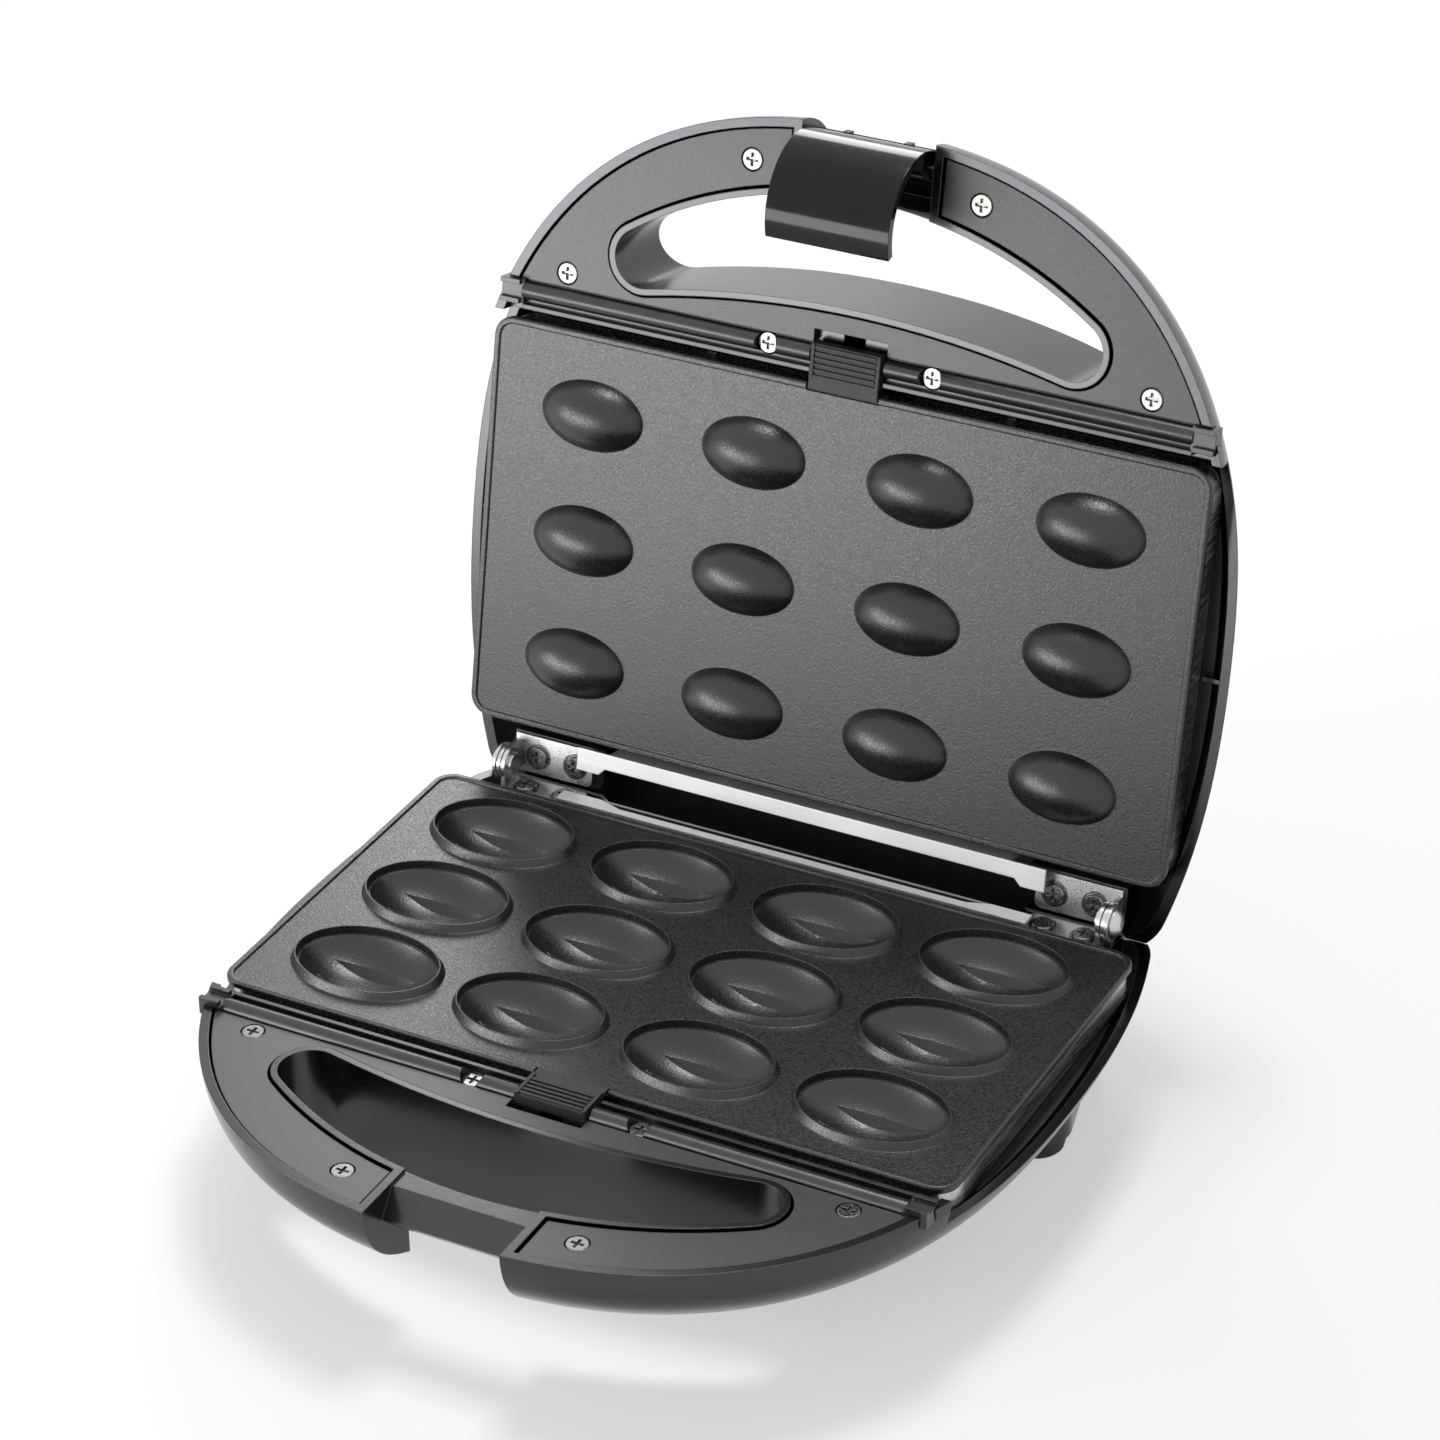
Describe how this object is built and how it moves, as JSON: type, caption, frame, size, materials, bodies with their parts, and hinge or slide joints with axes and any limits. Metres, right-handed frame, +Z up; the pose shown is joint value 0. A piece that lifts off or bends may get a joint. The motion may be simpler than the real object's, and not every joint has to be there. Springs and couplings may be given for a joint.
{
  "type": "sandwich maker",
  "caption": "Hinged countertop maker for walnut-shaped cakes: two lift-out non-stick plates in domed housings with carrying handles, a swinging latch and plate release clips.",
  "frame": {"origin": "middle of the opened appliance's footprint, on the table its feet stand on", "axes": "+Z up, -Y towards the handle and the user, +X to the user's right, hinge axis along X"},
  "size_m": [0.2307, 0.2666, 0.2405],
  "materials": {
    "housing_plastic": "gloss",
    "cover_plastic": "satin",
    "strip_plastic": "gloss",
    "clip_plastic": "matte",
    "latch_plastic": "high gloss",
    "non_stick_coating": "fine speckled satin",
    "pan_steel": "brushed",
    "rail_steel": "bright rolled",
    "hinge_steel": "rolled",
    "screw_steel": "plated",
    "frame_black": "matte",
    "element_steel": "dull",
    "foot_rubber": "matte",
    "gland_rubber": "matte",
    "lead_silicone": "matte",
    "terminal_ceramic": "matte",
    "lamp_red": "clear coloured",
    "lamp_green": "clear coloured",
    "brass_parts": "dull"
  },
  "bodies": {
    "base": {"base_shell": "housing_plastic", "base_handle_cover": "cover_plastic", "base_front_strip": "strip_plastic", "lower_plate": "non_stick_coating", "lower_heat_pan": "pan_steel", "base_inner_frame": "frame_black", "lower_heating_element": "element_steel", "lower_element_brackets": "hinge_steel", "lower_rear_rail": "rail_steel", "lower_hinge_leaf_left": "hinge_steel", "lower_hinge_leaf_right": "hinge_steel", "hinge_pins": "hinge_steel", "hinge_washers": "hinge_steel", "front_foot_left": "foot_rubber", "front_foot_right": "foot_rubber", "rear_foot_left": "foot_rubber", "rear_foot_right": "foot_rubber", "thermostat": "brass_parts", "thermal_fuse": "terminal_ceramic", "terminal_block": "terminal_ceramic", "cord_gland": "gland_rubber", "supply_leads": "lead_silicone", "base_cover_screws": "screw_steel", "base_strip_screws": "screw_steel", "lower_hinge_screws": "screw_steel", "base_frame_screws": "screw_steel"},
    "lid": {"lid_shell": "housing_plastic", "lid_handle_cover": "cover_plastic", "lid_front_strip": "strip_plastic", "upper_plate": "non_stick_coating", "upper_heat_pan": "pan_steel", "lid_inner_frame": "frame_black", "upper_heating_element": "element_steel", "upper_element_brackets": "hinge_steel", "upper_rear_rail": "rail_steel", "upper_hinge_leaf_left": "hinge_steel", "upper_hinge_leaf_right": "hinge_steel", "latch_pin": "hinge_steel", "latch_spring": "hinge_steel", "power_lamp": "lamp_red", "ready_lamp": "lamp_green", "lamp_holder": "frame_black", "lid_cover_screws": "screw_steel", "lid_strip_screws": "screw_steel", "upper_hinge_screws": "screw_steel", "lid_frame_screws": "screw_steel"},
    "lower_clip": {"lower_release_clip": "clip_plastic"},
    "upper_clip": {"upper_release_clip": "clip_plastic"},
    "latch": {"latch": "latch_plastic"}
  },
  "joints": [
    {"name": "lid_hinge", "type": "hinge", "parent": "base", "child": "lid", "pos_m": [0, 0.0672, 0.0452], "axis": [1, 0, 0], "range_deg": [0, 101.7]},
    {"name": "latch_pivot", "type": "hinge", "parent": "lid", "child": "latch", "pos_m": [0, 0.11553, 0.23024], "axis": [-1, 0, 0], "range_deg": [0, 55], "stiffness_Nm_per_rad": 0.03, "springref_deg": -20.05},
    {"name": "lower_clip_slide", "type": "slide", "parent": "base", "child": "lower_clip", "axis": [0, -1, 0], "range_m": [0, 0.003], "stiffness_N_per_m": 400, "springref_m": -0.004},
    {"name": "upper_clip_slide", "type": "slide", "parent": "lid", "child": "upper_clip", "axis": [0, 0.2028, 0.9792], "range_m": [0, 0.003], "stiffness_N_per_m": 400, "springref_m": -0.004}
  ]
}
